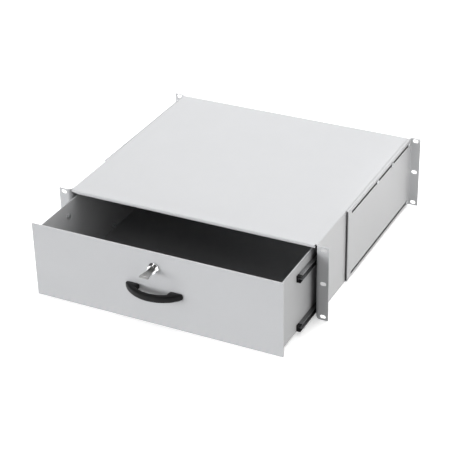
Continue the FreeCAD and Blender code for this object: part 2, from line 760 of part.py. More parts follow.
# ---- lock and key -----------------------------------------------------------------------------
def lock_housing():
    """Collar and threaded body of the cam lock, bored for the plug."""
    profile = [(0.0, collar_front), (lock_face, collar_front),
               (lock_face + lock_edge, collar_front + lock_edge), (lock_rim, panel_front - lock_band),
               (lock_rim, panel_front), (lock_body, panel_front), (lock_body, body_back),
               (0.0, body_back)]
    wire = rounded_wire("XY", 0.0, profile, [0.0] * len(profile))
    turned = Part.Face(wire).revolve(Vector(0, 0, 0), Vector(0, 1, 0), 360.0)
    turned.translate(Vector(0, 0, lock_rise))
    flats = box(-lock_flat, lock_flat, panel_front, body_back + past, lock_rise - lock_body - past,
                lock_rise + lock_body + past)
    collar_zone = box(-lock_rim - past, lock_rim + past, collar_front - past, panel_front,
                      lock_rise - lock_rim - past, lock_rise + lock_rim + past)
    turned = turned.common(joined([flats, collar_zone]))
    bore = rod("Y", plug_radius + plug_fit, collar_front - past, body_back + past, 0.0, lock_rise)
    return turned.cut(bore)


def lock_nut():
    """Nut that holds the lock against the drawer's front wall."""
    body = hexagon("XZ", wall_back, wall_back + nut_height, 0.0, lock_rise, nut_flat)
    rounder = rod("Y", nut_flat * nut_corner, wall_back, wall_back + nut_height, 0.0, lock_rise)
    bore = rod("Y", lock_body, wall_back - past, wall_back + nut_height + past, 0.0, lock_rise)
    return body.common(rounder).cut(bore)


def lock_plug():
    """Turning plug with a keyway in front and a flatted stub that carries the cam."""
    plug = rod("Y", plug_radius, plug_front, body_back + cam_gap / 2.0, 0.0, lock_rise)
    stub = rod("Y", stub_radius, body_back, cam_front + cam_sheet, 0.0, lock_rise)
    keyway = box(-key_blade / 2.0 - key_play, key_blade / 2.0 + key_play, plug_front - past,
                 plug_front + key_blade_length + key_play, lock_rise - key_sheet / 2.0 - key_play,
                 lock_rise + key_sheet / 2.0 + key_play)
    thread = rod("Y", cam_screw_radius, cam_front + cam_sheet - cam_screw_bite,
                 cam_front + cam_sheet + past, 0.0, lock_rise)
    return joined([plug, stub]).cut([keyway, thread])


def lock_cam():
    """Stepped cam: behind the lock body at its hub, just behind the case's lip at its tip."""
    back = cam_front
    tip = cam_tip_front
    path = [(-cam_width / 2.0, back), (cam_step_start, back), (cam_step_end, tip), (cam_reach, tip)]
    strip = folded("XY", lock_rise - cam_width / 2.0, lock_rise + cam_width / 2.0, path,
                   cam_sheet, fold_radius)
    outline = prism("XZ", tip - overrun, back + overrun,
                    [(-cam_width / 2.0, lock_rise - cam_width / 2.0),
                     (cam_reach, lock_rise - cam_width / 2.0),
                     (cam_reach, lock_rise + cam_width / 2.0),
                     (-cam_width / 2.0, lock_rise + cam_width / 2.0)],
                    [cam_end_round, cam_step_round, cam_step_round, cam_end_round])
    hub = rod("Y", stub_radius, back - past, back + cam_sheet + past, 0.0, lock_rise)
    return strip.common(outline).cut(hub)


def cam_screw():
    """Screw and washer head that hold the cam on its stub."""
    seat = cam_front + cam_sheet
    shank = rod("Y", cam_screw_radius, seat - cam_screw_bite, seat, 0.0, lock_rise)
    washer = rod("Y", cam_screw_head, seat, seat + cam_screw_rise * 0.4, 0.0, lock_rise)
    head = rod("Y", cam_screw_head * 0.66, seat, seat + cam_screw_rise, 0.0, lock_rise)
    return joined([shank, washer, head])


def key():
    """Flat key: blade in the plug, fan-shaped bow in front of it."""
    blade_end = plug_front + key_blade_length
    neck_end = plug_front - key_neck_reach
    bow_end = plug_front - key_bow_reach
    half = key_blade / 2.0
    points = [(half, blade_end), (-half, blade_end), (-half, plug_front - key_play),
              (-key_neck / 2.0, plug_front - key_play), (-key_neck / 2.0, neck_end),
              (-key_bow / 2.0, bow_end), (key_bow / 2.0, bow_end), (key_neck / 2.0, neck_end),
              (key_neck / 2.0, plug_front - key_play), (half, plug_front - key_play)]
    radii = [key_tip_round, key_tip_round, 0.0, 0.0, 0.0, key_round, key_round, 0.0, 0.0, 0.0]
    start = lock_rise - key_sheet / 2.0
    plate = prism("XY", start, start + key_sheet, points, radii)
    ring_y = bow_end + key_hole_inset
    return plate.cut(rod("Z", key_hole, start - past, start + key_sheet + past, 0.0, ring_y))


# ---- rear brackets ----------------------------------------------------------------------------
def rear_bracket():
    """Right bracket: shallow channel with two long slots, bent outwards into the slotted rear ear."""
    half = bracket_half
    section = [(flange_edge, half), (bracket_outside, half), (bracket_outside, -half),
               (flange_edge, -half)]
    plate = folded("XZ", bracket_front, flange_back, section, -case_sheet, fold_radius)
    path = [(bracket_outside, flange_back), (bracket_outside, bracket_depth),
            (ear_span / 2.0, bracket_depth)]
    ear = folded("XY", -half, half, path, case_sheet, bracket_bend)
    flat = half - case_sheet - fold_radius
    slots = []
    for low, high in ((-half - overrun, -flat), (flat, half + overrun)):
        slots.append(box(flange_edge - overrun, bracket_outside + overrun, flange_back,
                         flange_back + flange_relief, low, high))
    length = long_slot_back - long_slot_front
    middle = (long_slot_back + long_slot_front) / 2.0
    for side in (-1.0, 1.0):
        slots.append(slot("YZ", bracket_inside - overrun, bracket_outside + overrun, middle,
                          side * long_slot_rise, length, long_slot_height))
    for row in (-hole_rise, 0.0, hole_rise):
        slots.append(slot("XZ", bracket_depth - overrun, bracket_depth + case_sheet + overrun,
                          hole_span / 2.0, row, slot_length, slot_height))
    start = bracket_outside + bracket_bend
    block = box(bracket_inside - overrun, start, bracket_depth - bracket_bend,
                bracket_depth + case_sheet + overrun, -half - overrun, -half + bracket_corner)
    rounder = rod("Y", bracket_corner, bracket_depth - bracket_bend - overrun,
                  bracket_depth + case_sheet + overrun, start, -half + bracket_corner)
    return joined([plate, ear]).cut(slots + [block.cut(rounder)])


os.makedirs("parts", exist_ok=True)
write("case_cover", [case_cover()])
write("case_back", [case_back()])
write("closed_buffers", closed_buffers())
write("open_stops", open_stops())
for level, name in zip(rail_levels, ("lower", "upper")):
    rail = case_rail(level)
    write("case_rail_" + name + "_right", [rail])
    write("case_rail_" + name + "_left", [mirrored(rail)])
    channel = drawer_channel(level)
    write("drawer_channel_" + name + "_right", [channel])
    write("drawer_channel_" + name + "_left", [mirrored(channel)])
for name, pieces in (("bracket_spacers", bracket_spacers()), ("bracket_screws", bracket_screws()),
                     ("channel_caps", [channel_cap(level) for level in rail_levels]),
                     ("channel_screws", channel_screws()),
                     ("channel_nuts", channel_nuts()), ("ball_cages", ball_cages()),
                     ("slide_balls", slide_balls())):
    write(name, pieces + [mirrored(piece) for piece in pieces])
write("drawer_tray", [drawer_tray()])
write("drawer_back", [drawer_back()])
write("front_panel", [front_panel()])
write("panel_studs", panel_studs())
write("panel_nuts", panel_nuts())
write("handle", [handle()])
write("handle_screws", handle_screws())
write("lock_housing", [lock_housing()])
write("lock_nut", [lock_nut()])
write("lock_plug", [lock_plug()])
write("lock_cam", [lock_cam()])
write("cam_screw", [cam_screw()])
write("key", [key()])
bracket = rear_bracket()
write("rear_bracket_right", [bracket])
write("rear_bracket_left", [mirrored(bracket)])
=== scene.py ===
"""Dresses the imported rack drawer: finishes, a detailed handle, lock, key and screws, and the stage.

Laid out as a Blender add-on. Every new surface is worked out with numpy in metres, in the frame of
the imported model: X to the right, Y to the back, Z up.
"""

import math

import bmesh
import bpy
import numpy as np
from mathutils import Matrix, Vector
from bpy.props import FloatProperty, FloatVectorProperty, IntProperty, PointerProperty


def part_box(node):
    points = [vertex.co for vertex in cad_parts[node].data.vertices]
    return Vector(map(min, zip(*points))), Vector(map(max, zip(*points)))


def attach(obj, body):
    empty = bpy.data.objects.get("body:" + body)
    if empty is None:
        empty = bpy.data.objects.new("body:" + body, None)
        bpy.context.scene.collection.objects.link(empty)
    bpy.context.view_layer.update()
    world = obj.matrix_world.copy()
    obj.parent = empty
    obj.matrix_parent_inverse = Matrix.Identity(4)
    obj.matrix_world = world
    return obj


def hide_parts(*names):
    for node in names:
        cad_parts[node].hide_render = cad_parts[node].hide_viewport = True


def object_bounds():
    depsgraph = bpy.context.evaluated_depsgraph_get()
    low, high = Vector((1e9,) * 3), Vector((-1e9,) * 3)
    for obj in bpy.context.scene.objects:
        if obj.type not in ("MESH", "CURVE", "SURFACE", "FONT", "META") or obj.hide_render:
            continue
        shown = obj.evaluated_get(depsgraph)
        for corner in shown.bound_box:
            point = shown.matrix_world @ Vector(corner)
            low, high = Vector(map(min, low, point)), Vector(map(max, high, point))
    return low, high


bl_info = {
    "name": "Rack drawer dressing",
    "version": (1, 0, 0),
    "blender": (4, 5, 0),
    "location": "View3D > Sidebar > Rack drawer",
    "description": "Finishes, handle, lock, key, screws and stage of a sliding rack drawer",
    "category": "Object",
}

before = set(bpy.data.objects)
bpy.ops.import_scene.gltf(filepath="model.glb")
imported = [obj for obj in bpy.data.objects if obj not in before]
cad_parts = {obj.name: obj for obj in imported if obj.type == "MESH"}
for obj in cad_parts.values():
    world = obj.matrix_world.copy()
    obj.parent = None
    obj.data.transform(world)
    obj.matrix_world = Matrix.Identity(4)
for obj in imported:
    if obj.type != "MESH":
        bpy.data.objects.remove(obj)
cad_low, cad_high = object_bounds()

MM = 0.001
PANEL_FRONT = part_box("front_panel")[0].y
handle_low, handle_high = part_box("handle")
lock_low, lock_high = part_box("lock_housing")
key_low, key_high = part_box("key")
bracket_low, bracket_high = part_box("rear_bracket_right")
LOCK_Z = (lock_low.z + lock_high.z) / 2.0
SCREW_SPACE = 14.0 * MM


# ---- surfaces ---------------------------------------------------------------------------------
def mesh_piece(name, parts, smooth=True):
    """One mesh object out of (vertices, quads and end rings) parts; faces are lists of indices."""
    vertices = []
    faces = []
    offset = 0
    for points, quads, rings in parts:
        vertices.append(np.asarray(points, float).reshape(-1, 3))
        faces.extend((np.asarray(quads) + offset).tolist())
        faces.extend([(np.asarray(ring) + offset).tolist() for ring in rings])
        offset += len(vertices[-1])
    mesh = bpy.data.meshes.new(name)
    mesh.from_pydata(np.vstack(vertices).tolist(), [], faces)
    if len(faces) > 1:
        shell = bmesh.new()
        shell.from_mesh(mesh)
        bmesh.ops.recalc_face_normals(shell, faces=shell.faces)
        shell.to_mesh(mesh)
        shell.free()
    mesh.update()
    mesh.polygons.foreach_set("use_smooth", np.full(len(mesh.polygons), smooth))
    piece = bpy.data.objects.new(name, mesh)
    bpy.context.scene.collection.objects.link(piece)
    return piece


def tube_faces(rows, columns, closed_rows=False):
    """Quads of a grid whose columns close on themselves; rows run along the piece."""
    row = np.arange(rows if closed_rows else rows - 1)
    column = np.arange(columns)
    r, c = np.meshgrid(row, column, indexing="ij")
    r2 = (r + 1) % rows
    c2 = (c + 1) % columns
    quads = np.stack([r * columns + c, r * columns + c2,
                      r2 * columns + c2, r2 * columns + c], axis=-1)
    return quads.reshape(-1, 4)


def tube(points):
    """Closed tube from a (rows, columns, 3) grid, with a face over each end."""
    rows, columns = points.shape[:2]
    quads = tube_faces(rows, columns)
    first = np.arange(columns)[::-1]
    last = np.arange(columns) + (rows - 1) * columns
    return points.reshape(-1, 3), quads, [first, last]


def axis_frame(axis):
    """Three unit vectors: the axis, and two across it that make a right-handed set."""
    along = np.array(axis, float)
    helper = np.array([0.0, 0.0, 1.0]) if abs(along[2]) < 0.9 else np.array([1.0, 0.0, 0.0])
    across = np.cross(helper, along)
    across /= np.linalg.norm(across)
    return along, across, np.cross(along, across)


def turned(centre, axis, profile, segments, sink=None, squeeze=None):
    """Surface of revolution closed at both ends.

    P(s, a) = centre + axis*(h(s) - sink) + r(s)*(cos a*e1 + sin a*e2), with (r, h) the profile;
    sink(x, y, s) lowers a point, and squeeze(r, a, s) changes its radius.
    """
    along, across, up = axis_frame(axis)
    profile = np.asarray(profile, float)
    angle = np.linspace(0.0, 2.0 * math.pi, segments, endpoint=False)
    radius = np.repeat(profile[:, :1], segments, axis=1)
    height = np.repeat(profile[:, 1:], segments, axis=1)
    index = np.repeat(np.arange(len(profile))[:, None], segments, axis=1)
    angles = np.repeat(angle[None, :], len(profile), axis=0)
    if squeeze is not None:
        radius = squeeze(radius, angles, index)
    x = radius * np.cos(angles)
    y = radius * np.sin(angles)
    if sink is not None:
        height = height - sink(x, y, index)
    points = (np.asarray(centre, float) + height[..., None] * along + x[..., None] * across
              + y[..., None] * up)
    return tube(points)


def arc_profile(centre_r, centre_h, radius, start, end, count):
    """Points (r, h) on a circular arc between two angles in degrees."""
    angle = np.radians(np.linspace(start, end, count))
    return np.stack([centre_r + radius * np.cos(angle), centre_h + radius * np.sin(angle)], axis=-1)


def cross_recess(arm, width, depth):
    """Depth of a cross-shaped recess at (x, y): two smooth bars that get shallower outwards."""
    def bar(u, v):
        along = np.clip(1.0 - (np.abs(u) / arm) ** 4, 0.0, 1.0)
        side = np.clip((width - np.abs(v)) / (0.5 * width), 0.0, 1.0)
        return along * side * side * (3.0 - 2.0 * side)

    def sink(x, y, index):
        shape = np.maximum(bar(x, y), bar(y, x))
        return depth * shape * (index >= sink.first)

    sink.first = 0
    return sink


def pan_head(centre, axis, shank, length, radius, rise, recess):
    """Pan-head screw: shank, flat underside, rounded rim and slightly domed top with a recess.

    centre lies on the head's seat, the head rises along axis and the shank runs against it.
    """
    tip = 0.35 * shank
    edge = 0.45 * rise
    dome = 0.12 * rise
    lower = [(shank - tip, -length), (shank, -length + tip), (shank, 0.0), (radius, 0.0)]
    rim = arc_profile(radius - edge, edge, edge, -10.0, 65.0, 8)
    inner = np.linspace(rim[-1, 0], 0.0, 22)[1:-1]
    crown = rim[-1, 1] + dome * (1.0 - (inner / rim[-1, 0]) ** 2)
    top = np.stack([inner, crown], axis=-1)
    profile = np.vstack([lower, rim, top, [(1e-6, crown[-1])]])
    sink = cross_recess(0.55 * radius, 0.13 * radius, recess)
    sink.first = len(lower) + len(rim)
    return turned(centre, axis, profile, 48, sink=sink)


def threaded(centre, axis, radius, length, pitch, depth):
    """Threaded stud: r(a, h) = radius - depth*tri(h/pitch - a/2pi), smooth at both ends."""
    rows_per_turn = 8
    rows = int(length / pitch * rows_per_turn)
    height = np.linspace(0.0, length, rows)
    profile = np.stack([np.full(rows, radius), height], axis=-1)

    def squeeze(r, angle, index):
        turn = height[index] / pitch - angle / (2.0 * math.pi)
        wave = np.abs((turn % 1.0) * 2.0 - 1.0)
        ends = np.clip(np.minimum(height[index], length - height[index]) / pitch, 0.0, 1.0)
        chamfer = np.clip((height[index] - (length - 0.8 * pitch)) / (0.8 * pitch), 0.0, 1.0)
        return r - depth * wave * ends - 0.25 * radius * chamfer

    return turned(centre, axis, profile, 32, squeeze=squeeze)


def softened(points, reach, count):
    """Evenly spaced points along a path whose corners are softened.

    The path is sampled by length, continued straight past both ends, and averaged with a raised
    cosine window as long as twice the reach.
    """
    points = np.asarray(points, float)
    lengths = np.concatenate([[0.0], np.cumsum(np.linalg.norm(np.diff(points, axis=0), axis=1))])
    samples = 4000
    step = lengths[-1] / samples
    margin = int(math.ceil(reach / step))
    even = np.linspace(0.0, lengths[-1], samples + 1)
    line = np.stack([np.interp(even, lengths, points[:, axis]) for axis in range(2)], axis=-1)
    ahead = np.arange(margin, 0, -1)[:, None]
    before = line[0] - ahead * (line[1] - line[0])
    after = line[-1] + ahead[::-1] * (line[-1] - line[-2])
    padded = np.vstack([before, line, after])
    window = np.hanning(2 * margin + 3)[1:-1]
    window /= window.sum()
    soft = np.stack([np.convolve(padded[:, axis], window, mode="valid") for axis in range(2)],
                    axis=-1)
    lengths = np.concatenate([[0.0], np.cumsum(np.linalg.norm(np.diff(soft, axis=0), axis=1))])
    places = np.linspace(0.0, lengths[-1], count)
    return np.stack([np.interp(places, lengths, soft[:, axis]) for axis in range(2)], axis=-1)


def arch(half, low, top, count):
    """Circular arc from (-half, low) over (0, top) to (half, low)."""
    rise = top - low
    radius = (half * half + rise * rise) / (2.0 * rise)
    limit = math.asin(half / radius)
    angle = np.linspace(-limit, limit, count)
    return np.stack([radius * np.sin(angle), top - radius * (1.0 - np.cos(angle))], axis=-1)


def bow_grid(half, reach, tip, foot, depth, wall, height, draft, draft_rise, rows, columns):
    """Bow handle as a (rows, columns, 3) grid, in X, distance from the panel and Z.

    Outer edge: blunt tips and an arch; inner edge: two walls and a flatter arch, both softened.
    Section at each row: superellipse between the edges, |u|^(2/e) + |z/h|^(2/e) = 1, with e going
    from blunt feet to a rounder grip; h shrinks towards the panel by the draft.
    """
    tip_softness = 2.2 * MM
    wall_softness = 3.4 * MM
    outer_points = 400
    inner_points = 300
    outer = np.vstack([[(-half, 0.0)], arch(half, tip, reach, outer_points), [(half, 0.0)]])
    inner = np.vstack([[(-foot, 0.0)], arch(foot, wall, depth, inner_points), [(foot, 0.0)]])
    outer = softened(outer, tip_softness, rows)
    inner = softened(inner, wall_softness, rows)
    share = np.abs(np.linspace(-1.0, 1.0, rows))
    blunt = 0.66 - 0.22 * np.clip((share - 0.55) / 0.35, 0.0, 1.0)
    a = np.linspace(0.0, 2.0 * math.pi, columns, endpoint=False)
    ca = np.sign(np.cos(a)) * np.abs(np.cos(a)) ** blunt[:, None]
    sa = np.sign(np.sin(a)) * np.abs(np.sin(a)) ** blunt[:, None]
    middle = (outer + inner) / 2.0
    span = (outer - inner) / 2.0
    plane = middle[:, None, :] + span[:, None, :] * ca[..., None]
    lower = draft * np.clip(1.0 - plane[..., 1] / draft_rise, 0.0, 1.0) ** 1.5
    level = (height / 2.0 - lower) * sa
    return np.concatenate([plane, level[..., None]], axis=-1)


def star_plate(centre, hole, outline, thickness, bevel, segments):
    """Flat plate with a round hole: P(a, s) runs from the hole's edge to the outline along each ray.

    The outline's radius at angle a is where the ray from the hole's middle leaves the polygon; the
    section across the plate is a rectangle with bevelled corners.
    """
    points = np.asarray(outline, float)
    corner_angles = np.arctan2(points[:, 1], points[:, 0])
    angles = np.unique(np.concatenate([np.linspace(-math.pi, math.pi, segments, endpoint=False),
                                       corner_angles, corner_angles + 1e-4]))
    direction = np.stack([np.cos(angles), np.sin(angles)], axis=-1)
    edge = np.roll(points, -1, axis=0) - points
    cross = direction[:, None, 0] * edge[None, :, 1] - direction[:, None, 1] * edge[None, :, 0]
    cross = np.where(np.abs(cross) < 1e-12, 1e-12, cross)
    t = (points[None, :, 0] * edge[None, :, 1] - points[None, :, 1] * edge[None, :, 0]) / cross
    u = (points[None, :, 0] * direction[:, None, 1]
         - points[None, :, 1] * direction[:, None, 0]) / cross
    hit = np.where((u >= -1e-6) & (u <= 1.0 + 1e-6) & (t > 0.0), t, np.inf)
    outer = hit.min(axis=1)
    half = thickness / 2.0
    section = [(0.0, bevel, half), (1.0, -bevel, half), (1.0, 0.0, half - bevel),
               (1.0, 0.0, bevel - half), (1.0, -bevel, -half), (0.0, bevel, -half),
               (0.0, 0.0, bevel - half), (0.0, 0.0, half - bevel)]
    share = np.array([row[0] for row in section])
    shift = np.array([row[1] for row in section])
    level = np.array([row[2] for row in section])
    radius = hole + (outer[:, None] - hole) * share[None, :] + shift[None, :]
    x = centre[0] + radius * direction[:, :1]
    y = centre[1] + radius * direction[:, 1:]
    z = np.broadcast_to(centre[2] + level[None, :], x.shape)
    grid = np.stack([x, y, z], axis=-1)
    rows, columns = grid.shape[:2]
    return grid.reshape(-1, 3), tube_faces(rows, columns, closed_rows=True), []


# ---- finishes ---------------------------------------------------------------------------------
def node_tree(name):
    """New material with its tree, its shader and the object coordinates of the piece."""
    material = bpy.data.materials.new(name)
    material.use_nodes = True
    tree = material.node_tree
    shader = tree.nodes["Principled BSDF"]
    place = tree.nodes.new("ShaderNodeTexCoord")
    return material, tree, shader, place.outputs["Object"]


def noise(tree, place, grain, detail=3.0, roughness=0.6, stretch=None):
    """Noise whose features are about grain metres across, stretched by three factors if given."""
    source = place
    if stretch is not None:
        mapping = tree.nodes.new("ShaderNodeMapping")
        mapping.inputs["Scale"].default_value = stretch
        tree.links.new(place, mapping.inputs["Vector"])
        source = mapping.outputs["Vector"]
    texture = tree.nodes.new("ShaderNodeTexNoise")
    texture.inputs["Scale"].default_value = 1.0 / grain
    texture.inputs["Detail"].default_value = detail
    texture.inputs["Roughness"].default_value = roughness
    tree.links.new(source, texture.inputs["Vector"])
    return texture.outputs["Fac"]


def spread(tree, value, low, high, start=0.3, end=0.7):
    """Value mapped from start..end to low..high."""
    node = tree.nodes.new("ShaderNodeMapRange")
    node.inputs["From Min"].default_value = start
    node.inputs["From Max"].default_value = end
    node.inputs["To Min"].default_value = low
    node.inputs["To Max"].default_value = high
    tree.links.new(value, node.inputs["Value"])
    return node.outputs["Result"]


def tint(tree, share, first, second):
    """Colour between two colours by a share from 0 to 1."""
    node = tree.nodes.new("ShaderNodeMix")
    node.data_type = "RGBA"
    node.inputs["A"].default_value = (*first, 1.0)
    node.inputs["B"].default_value = (*second, 1.0)
    tree.links.new(share, node.inputs["Factor"])
    return node.outputs["Result"]


def combine(tree, operation, first, second):
    """Sum or product of two values."""
    node = tree.nodes.new("ShaderNodeMath")
    node.operation = operation
    tree.links.new(first, node.inputs[0])
    tree.links.new(second, node.inputs[1])
    return node.outputs["Value"]


def bump(tree, shader, height, distance, strength):
    """Bump from a height, chained after any bump the shader already has."""
    node = tree.nodes.new("ShaderNodeBump")
    node.inputs["Distance"].default_value = distance
    node.inputs["Strength"].default_value = strength
    tree.links.new(height, node.inputs["Height"])
    links = shader.inputs["Normal"].links
    if links:
        tree.links.new(links[0].from_socket, node.inputs["Normal"])
    tree.links.new(node.outputs["Normal"], shader.inputs["Normal"])


def shade(colour, factor):
    """A colour made lighter or darker."""
    return tuple(min(1.0, channel * factor) for channel in colour)


def powder_coat(name, colour, roughness, grain, texture_depth):
    """Matt powder coat: fine speckle, faint cloudiness, orange-peel bump and uneven gloss."""
    material, tree, shader, place = node_tree(name)
    cloud_share = 0.35
    speckle = noise(tree, place, grain, 2.0)
    cloud = noise(tree, place, 60.0 * grain, 3.0)
    add = tree.nodes.new("ShaderNodeMath")
    add.operation = "MULTIPLY_ADD"
    add.inputs[1].default_value = cloud_share
    tree.links.new(cloud, add.inputs[0])
    tree.links.new(speckle, add.inputs[2])
    colour_share = spread(tree, add.outputs["Value"], 0.0, 1.0, 0.4, 0.95)
    tree.links.new(tint(tree, colour_share, shade(colour, 0.955), shade(colour, 1.03)),
                   shader.inputs["Base Color"])
    tree.links.new(spread(tree, speckle, roughness - 0.06, roughness + 0.08),
                   shader.inputs["Roughness"])
    shader.inputs["IOR"].default_value = 1.5
    bump(tree, shader, noise(tree, place, 1.6 * grain, 2.0, 0.5), texture_depth, 0.35)
    bump(tree, shader, noise(tree, place, 0.45 * grain, 1.0, 0.5), 0.4 * texture_depth, 0.25)
    return material


def paint_channel_shade(material, colour, outside, edge, front, back):
    """Painted shade inside a folded channel: a dark colour where |x| < outside, |z| < edge and front < y
    < back.

    With limits inside the sheet, the cut edges of its slots get the painted shade too and its outer
    faces don't.
    """
    tree = material.node_tree
    shader = tree.nodes["Principled BSDF"]
    place = next(node for node in tree.nodes if node.type == "TEX_COORD").outputs["Object"]
    split = tree.nodes.new("ShaderNodeSeparateXYZ")
    tree.links.new(place, split.inputs["Vector"])
    step = 0.05 * MM
    inside = None
    for axis, low, high in (("X", -outside, outside), ("Y", front, back), ("Z", -edge, edge)):
        for first, last, limit in ((0.0, 1.0, low), (1.0, 0.0, high)):
            side = spread(tree, split.outputs[axis], first, last, limit - step, limit + step)
            inside = side if inside is None else combine(tree, "MULTIPLY", inside, side)
    # Mixes the painted shade colour into the coat's colour inside the channel.
    mix = tree.nodes.new("ShaderNodeMix")
    mix.data_type = "RGBA"
    tree.links.new(inside, mix.inputs["Factor"])
    tree.links.new(shader.inputs["Base Color"].links[0].from_socket, mix.inputs["A"])
    mix.inputs["B"].default_value = (*colour, 1.0)
    tree.links.new(mix.outputs["Result"], shader.inputs["Base Color"])


def plated_steel(name, colour, roughness, grain, stretch=(1.0, 1.0, 1.0)):
    """Plated steel: drawn streaks along the part, cloudy passivation and fine scratches."""
    material, tree, shader, place = node_tree(name)
    streak = noise(tree, place, grain, 4.0, 0.7, stretch)
    cloud = noise(tree, place, 12.0 * MM, 3.0, 0.55)
    tree.links.new(tint(tree, spread(tree, cloud, 0.0, 1.0), shade(colour, 0.86), shade(colour, 1.1)),
                   shader.inputs["Base Color"])
    tree.links.new(spread(tree, streak, roughness - 0.1, roughness + 0.12),
                   shader.inputs["Roughness"])
    shader.inputs["Metallic"].default_value = 1.0
    bump(tree, shader, streak, 0.02 * MM, 0.3)
    return material


def polished_chrome(name, colour, roughness):
    """Bright plating: almost a mirror, with faint buffing marks and fingerprints."""
    material, tree, shader, place = node_tree(name)
    smudge = noise(tree, place, 2.5 * MM, 3.0, 0.6)
    marks = noise(tree, place, 0.25 * MM, 2.0, 0.6, (1.0, 6.0, 1.0))
    tree.links.new(tint(tree, spread(tree, smudge, 0.0, 1.0), shade(colour, 0.94), colour),
                   shader.inputs["Base Color"])
    tree.links.new(spread(tree, smudge, roughness, roughness + 0.07, 0.45, 0.8),
                   shader.inputs["Roughness"])
    shader.inputs["Metallic"].default_value = 1.0
    bump(tree, shader, marks, 0.004 * MM, 0.2)
    return material


def moulded_plastic(name, colour, roughness, grain):
    """Moulded plastic: spark-eroded grain, slightly worn to a shine in places."""
    material, tree, shader, place = node_tree(name)
    worn = noise(tree, place, 14.0 * MM, 2.0, 0.5)
    fine = noise(tree, place, grain, 2.0, 0.6)
    tree.links.new(tint(tree, spread(tree, fine, 0.0, 1.0), shade(colour, 0.8), shade(colour, 1.25)),
                   shader.inputs["Base Color"])
    tree.links.new(spread(tree, worn, roughness - 0.07, roughness + 0.07), shader.inputs["Roughness"])
    shader.inputs["Specular IOR Level"].default_value = 0.14
    bump(tree, shader, fine, 0.06 * MM, 0.35)
    return material


def soft_rubber(name, colour):
    """Black rubber: dull, dusty and faintly mottled."""
    material, tree, shader, place = node_tree(name)
    dust = noise(tree, place, 3.0 * MM, 4.0, 0.65)
    tree.links.new(tint(tree, spread(tree, dust, 0.0, 1.0, 0.4, 0.8), colour, shade(colour, 2.2)),
                   shader.inputs["Base Color"])
    tree.links.new(spread(tree, dust, 0.72, 0.88), shader.inputs["Roughness"])
    bump(tree, shader, noise(tree, place, 0.5 * MM), 0.05 * MM, 0.4)
    return material


def dress(node, material):
    """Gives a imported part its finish."""
    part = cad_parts[node]
    if not part.material_slots:
        part.data.materials.append(material)
    for entry in part.material_slots:
        entry.material = material


def finish_piece(piece, body, material, slot, *nodes):
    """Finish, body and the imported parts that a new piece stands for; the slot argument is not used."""
    piece.data.materials.append(material)
    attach(piece, body)
    if nodes:
        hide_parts(*nodes)


# ---- sizes and colours ------------------------------------------------------------------------
class RackDrawerFinishes(bpy.types.PropertyGroup):
    """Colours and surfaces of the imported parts."""
    coat: FloatVectorProperty(name="Coat", description="Light grey powder coat", size=3,
                              subtype="COLOR", min=0.0, max=1.0, default=(0.413, 0.417, 0.426))
    coat_roughness: FloatProperty(name="Coat roughness", description="Dullness of the powder coat",
                                  min=0.1, max=1.0, default=0.48)
    coat_grain: FloatProperty(name="Coat grain", description="Size of the coat's speckle",
                              unit="LENGTH", min=0.0001, max=0.01, default=0.9 * MM)
    coat_depth: FloatProperty(name="Coat texture", description="Height of the coat's orange peel",
                              unit="LENGTH", min=0.0, max=0.001, default=0.12 * MM)
    # Painted shade: the drawer box's coat is darkened by this share, standing in for the deeper shade
    # inside the drawer.
    drawer_shade_share: FloatProperty(name="Drawer coat", min=0.1, max=1.0, default=0.8,
                                description="Lightness of the drawer box, as a share of the rest")
    # Painted shade: a near-black colour painted inside the rear brackets, standing in for the shade in
    # their channel and slots.
    painted_shade: FloatVectorProperty(name="Lining", description="Dull finish inside the rear brackets",
                                size=3, subtype="COLOR", min=0.0, max=1.0,
                                default=(0.05, 0.05, 0.052))
    slide: FloatVectorProperty(name="Slide", description="Dark plating of the slides", size=3,
                               subtype="COLOR", min=0.0, max=1.0, default=(0.24, 0.243, 0.248))
    member: FloatVectorProperty(name="Inner member", description="Plating of the inner members",
                                size=3, subtype="COLOR", min=0.0, max=1.0,
                                default=(0.22, 0.224, 0.23))
    zinc: FloatVectorProperty(name="Zinc", description="Plating of screws, nuts and tabs", size=3,
                              subtype="COLOR", min=0.0, max=1.0, default=(0.72, 0.73, 0.74))
    chrome: FloatVectorProperty(name="Chrome", description="Plating of the lock", size=3,
                                subtype="COLOR", min=0.0, max=1.0, default=(0.86, 0.86, 0.87))
    moulding: FloatVectorProperty(name="Moulding", description="Black moulded plastic", size=3,
                                  subtype="COLOR", min=0.0, max=1.0, default=(0.006, 0.006, 0.0065))


class RackDrawerHandle(bpy.types.PropertyGroup):
    """Shape of the bow handle."""
    foot: FloatProperty(name="Foot length", description="Length of each foot on the panel",
                        unit="LENGTH", min=0.005, max=0.04, default=23.5 * MM)
    grip: FloatProperty(name="Grip", description="Thickness of the bow at its middle",
                        unit="LENGTH", min=0.004, max=0.02, default=8.5 * MM)
    tip: FloatProperty(name="Tip", description="Height of the blunt tips above the panel",
                       unit="LENGTH", min=0.001, max=0.01, default=2.7 * MM)
    wall: FloatProperty(name="Wall", description="Height of the finger space's walls",
                        unit="LENGTH", min=0.002, max=0.02, default=12.0 * MM)
    draft: FloatProperty(name="Draft", description="How much lower each foot is at the panel",
                         unit="LENGTH", min=0.0, max=0.004, default=1.6 * MM)
    draft_rise: FloatProperty(name="Draft height", description="Height where the draft ends",
                              unit="LENGTH", min=0.001, max=0.02, default=9.0 * MM)
    rows: IntProperty(name="Rows", description="Sections along the bow", min=16, max=400, default=200)
    columns: IntProperty(name="Columns", description="Points round each section", min=12, max=160,
                         default=64)


